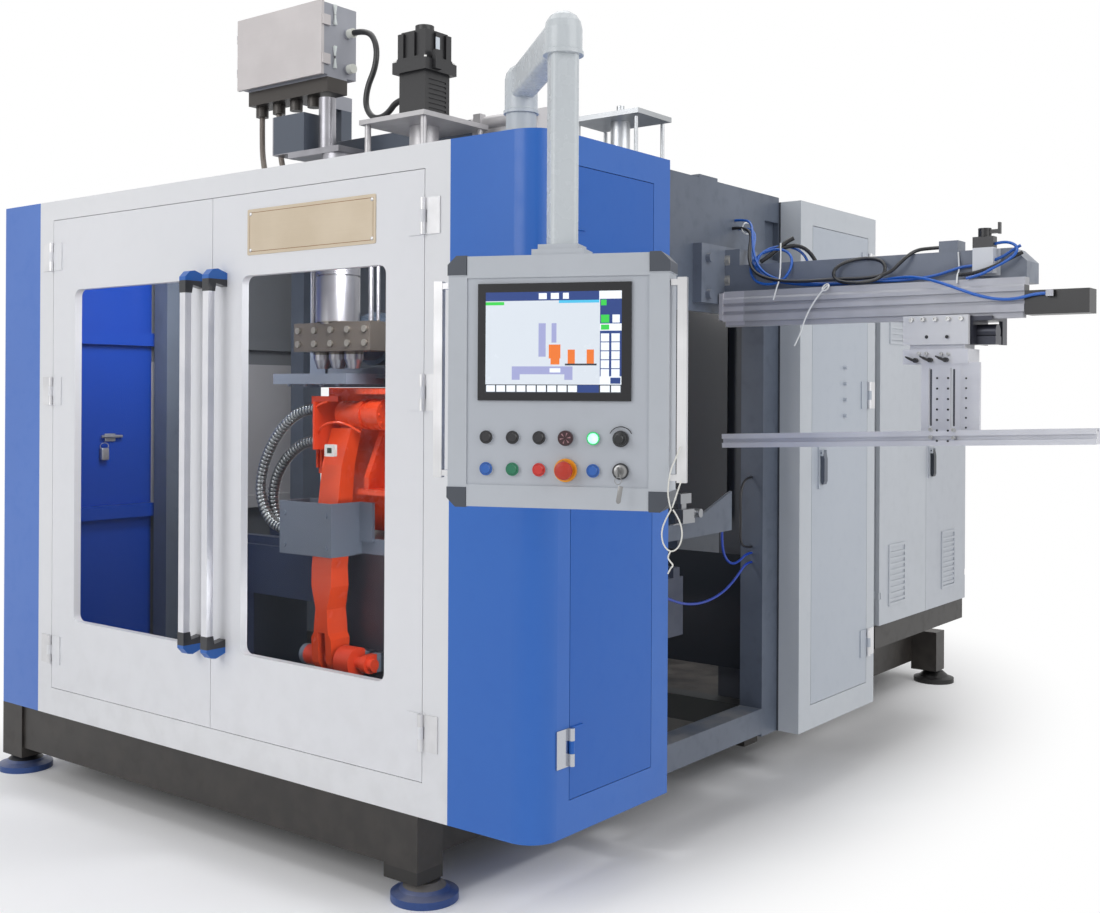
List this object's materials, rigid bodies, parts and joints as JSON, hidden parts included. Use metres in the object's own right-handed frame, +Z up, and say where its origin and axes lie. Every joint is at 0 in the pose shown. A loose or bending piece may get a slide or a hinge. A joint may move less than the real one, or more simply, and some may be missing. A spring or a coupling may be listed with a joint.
{
  "type": "blow moulding machine",
  "caption": "Blow moulding machine: guarded cell with two windowed doors, clamp and die head inside, operator panel on a swivel arm, side cabinets, extruder behind and take-out robot.",
  "frame": {"origin": "middle of the underside of the front right levelling foot", "axes": "+Z up, -Y towards the operator in front of the doors, +X towards the take-out robot"},
  "size_m": [3.5178, 3.9275, 2.651],
  "materials": {
    "machine_blue": "satin",
    "panel_grey": "satin",
    "frame_grey": "satin",
    "base_black": "satin",
    "foot_blue": "satin",
    "cabinet_grey": "satin",
    "control_grey": "satin",
    "window_glass": "clear",
    "bare_aluminium": "satin",
    "bright_steel": "polished",
    "machined_steel": "brushed",
    "clamp_orange": "satin",
    "rail_blue": "satin",
    "panel_shell": "satin",
    "screen_black": "gloss",
    "button_black": "gloss",
    "button_blue": "gloss",
    "button_green": "gloss",
    "button_red": "gloss",
    "conduit_grey": "matt",
    "hose_blue": "gloss",
    "motor_black": "satin",
    "heater_brown": "brushed",
    "latch_black": "matt"
  },
  "bodies": {
    "machine": {"base_frame": "base_black", "levelling_feet": "foot_blue", "front_surround": "panel_grey", "left_cover": "machine_blue", "corner_cabinet": "machine_blue", "machine_frame": "frame_grey", "door_hinges": "latch_black", "valve_cabinet": "cabinet_grey", "control_cabinet": "control_grey", "control_gear": "bare_aluminium", "arm_base": "bare_aluminium", "junction_box": "cabinet_grey", "parison_servo": "motor_black", "head_frame": "bare_aluminium", "blow_unit": "bare_aluminium", "die_head": "heater_brown", "head_support": "machined_steel", "extruder": "heater_brown", "extruder_drive": "machine_blue", "carriage_beam": "rail_blue", "robot_beam": "frame_grey", "linear_module": "bare_aluminium", "hoses_and_cables": "hose_blue"},
    "left_door_body": {"left_door": "panel_grey", "left_window": "window_glass", "left_handle": "bare_aluminium"},
    "right_door_body": {"right_door": "panel_grey", "right_window": "window_glass", "right_handle": "bare_aluminium"},
    "side_door_body": {"side_door": "machine_blue"},
    "valve_door_body": {"valve_door": "cabinet_grey"},
    "valve_latch_body": {"valve_latch": "latch_black"},
    "control_door_near_body": {"control_door_near": "control_grey"},
    "control_door_far_body": {"control_door_far": "control_grey"},
    "control_latch_body": {"control_latch": "latch_black"},
    "arm_body": {"support_arm": "bare_aluminium"},
    "panel_body": {"panel_frame": "panel_shell", "panel_face": "panel_shell", "touch_screen": "screen_black", "panel_handles": "bare_aluminium"},
    "stop_button_body": {"stop_button": "button_red"},
    "selector_body": {"selector_knob": "button_black"},
    "key_body": {"key_switch": "bright_steel"},
    "junction_lid_body": {"junction_lid": "cabinet_grey"},
    "mould_carriage_body": {"mould_carriage": "cabinet_grey", "ribbed_conduits": "conduit_grey"},
    "front_platen_body": {"front_platen": "clamp_orange"},
    "rear_platen_body": {"rear_platen": "clamp_orange"},
    "lever_body": {"toggle_lever": "clamp_orange"},
    "robot_carriage_body": {"robot_carriage": "bare_aluminium", "gripper": "bare_aluminium"},
    "valve_handle_body": {"valve_handle": "button_black"},
    "black_button_1_body": {"black_button_1": "button_black"},
    "black_button_2_body": {"black_button_2": "button_black"},
    "black_button_3_body": {"black_button_3": "button_black"},
    "lamp_button_body": {"lamp_button": "button_green"},
    "blue_button_1_body": {"blue_button_1": "button_blue"},
    "green_button_body": {"green_button": "button_green"},
    "red_button_body": {"red_button": "button_red"},
    "blue_button_2_body": {"blue_button_2": "button_blue"}
  },
  "joints": [
    {"name": "left_door_hinge", "type": "hinge", "parent": "machine", "child": "left_door_body", "pos_m": [-1.68, -0.078, 1.2], "axis": [0, 0, 1], "range_deg": [-110, 0]},
    {"name": "right_door_hinge", "type": "hinge", "parent": "machine", "child": "right_door_body", "pos_m": [0.055, -0.078, 1.2], "axis": [0, 0, 1], "range_deg": [0, 95]},
    {"name": "side_door_hinge", "type": "hinge", "parent": "machine", "child": "side_door_body", "pos_m": [0.441, 0.06, 1.2], "axis": [0, 0, 1], "range_deg": [-100, 0]},
    {"name": "valve_door_hinge", "type": "hinge", "parent": "machine", "child": "valve_door_body", "pos_m": [0.441, 1.822, 1.2], "axis": [0, 0, 1], "range_deg": [0, 80]},
    {"name": "valve_latch_lever", "type": "hinge", "parent": "valve_door_body", "child": "valve_latch_body", "pos_m": [0.444, 1.452, 1.15], "axis": [0, 1, 0], "range_deg": [-50, 0]},
    {"name": "control_near_hinge", "type": "hinge", "parent": "machine", "child": "control_door_near_body", "pos_m": [0.427, 1.938, 1.2], "axis": [0, 0, 1], "range_deg": [-100, 0]},
    {"name": "control_far_hinge", "type": "hinge", "parent": "machine", "child": "control_door_far_body", "pos_m": [0.427, 2.792, 1.2], "axis": [0, 0, 1], "range_deg": [0, 110]},
    {"name": "control_latch_lever", "type": "hinge", "parent": "control_door_far_body", "child": "control_latch_body", "pos_m": [0.444, 2.414, 1.128], "axis": [0, 1, 0], "range_deg": [-50, 0]},
    {"name": "arm_swivel", "type": "hinge", "parent": "machine", "child": "arm_body", "pos_m": [0.293, 0.03, 2.1], "axis": [0, 0, 1], "range_deg": [-45, 60]},
    {"name": "panel_swivel", "type": "hinge", "parent": "arm_body", "child": "panel_body", "pos_m": [0.654, -0.269, 1.65], "axis": [0, 0, 1], "range_deg": [-45, 45]},
    {"name": "stop_button_push", "type": "slide", "parent": "panel_body", "child": "stop_button_body", "axis": [-0.3827, 0.9239, 0], "range_m": [0, 0.004], "stiffness_N_per_m": 1500},
    {"name": "selector_turn", "type": "hinge", "parent": "panel_body", "child": "selector_body", "pos_m": [0.80716, -0.26509, 1.246], "axis": [0.3827, -0.9239, 0], "range_deg": [-45, 45]},
    {"name": "key_turn", "type": "hinge", "parent": "panel_body", "child": "key_body", "pos_m": [0.80716, -0.26509, 1.177], "axis": [0.3827, -0.9239, 0], "range_deg": [-90, 0]},
    {"name": "junction_lid_hinge", "type": "hinge", "parent": "machine", "child": "junction_lid_body", "pos_m": [-1.311, 0.4146, 2.53], "axis": [0, 0, 1], "range_deg": [-120, 0]},
    {"name": "carriage_slide", "type": "slide", "parent": "machine", "child": "mould_carriage_body", "axis": [1, 0, 0], "range_m": [0, 0.7]},
    {"name": "front_platen_slide", "type": "slide", "parent": "mould_carriage_body", "child": "front_platen_body", "axis": [0, 1, 0], "range_m": [0, 0.06]},
    {"name": "rear_platen_slide", "type": "slide", "parent": "mould_carriage_body", "child": "rear_platen_body", "axis": [0, -1, 0], "range_m": [0, 0.06]},
    {"name": "lever_pivot", "type": "hinge", "parent": "mould_carriage_body", "child": "lever_body", "pos_m": [-0.877, 0.47, 0.452], "axis": [-1, 0, 0], "range_deg": [0, 4.5]},
    {"name": "robot_slide", "type": "slide", "parent": "machine", "child": "robot_carriage_body", "axis": [1, 0, 0], "range_m": [-0.55, 0.1]},
    {"name": "valve_handle_turn", "type": "hinge", "parent": "machine", "child": "valve_handle_body", "pos_m": [1.178, 0.886, 1.77], "axis": [0, 0, 1], "range_deg": [0, 90]},
    {"name": "black_button_1_push", "type": "slide", "parent": "panel_body", "child": "black_button_1_body", "axis": [-0.3827, 0.9239, 0], "range_m": [0, 0.003], "stiffness_N_per_m": 400},
    {"name": "black_button_2_push", "type": "slide", "parent": "panel_body", "child": "black_button_2_body", "axis": [-0.3827, 0.9239, 0], "range_m": [0, 0.003], "stiffness_N_per_m": 400},
    {"name": "black_button_3_push", "type": "slide", "parent": "panel_body", "child": "black_button_3_body", "axis": [-0.3827, 0.9239, 0], "range_m": [0, 0.003], "stiffness_N_per_m": 400},
    {"name": "lamp_button_push", "type": "slide", "parent": "panel_body", "child": "lamp_button_body", "axis": [-0.3827, 0.9239, 0], "range_m": [0, 0.003], "stiffness_N_per_m": 400},
    {"name": "blue_button_1_push", "type": "slide", "parent": "panel_body", "child": "blue_button_1_body", "axis": [-0.3827, 0.9239, 0], "range_m": [0, 0.003], "stiffness_N_per_m": 400},
    {"name": "green_button_push", "type": "slide", "parent": "panel_body", "child": "green_button_body", "axis": [-0.3827, 0.9239, 0], "range_m": [0, 0.003], "stiffness_N_per_m": 400},
    {"name": "red_button_push", "type": "slide", "parent": "panel_body", "child": "red_button_body", "axis": [-0.3827, 0.9239, 0], "range_m": [0, 0.003], "stiffness_N_per_m": 400},
    {"name": "blue_button_2_push", "type": "slide", "parent": "panel_body", "child": "blue_button_2_body", "axis": [-0.3827, 0.9239, 0], "range_m": [0, 0.003], "stiffness_N_per_m": 400}
  ],
  "couplings": [
    {"joint": "rear_platen_slide", "follows": "front_platen_slide", "ratio": 1},
    {"joint": "lever_pivot", "follows": "front_platen_slide", "rad_per_m": 1.25}
  ]
}
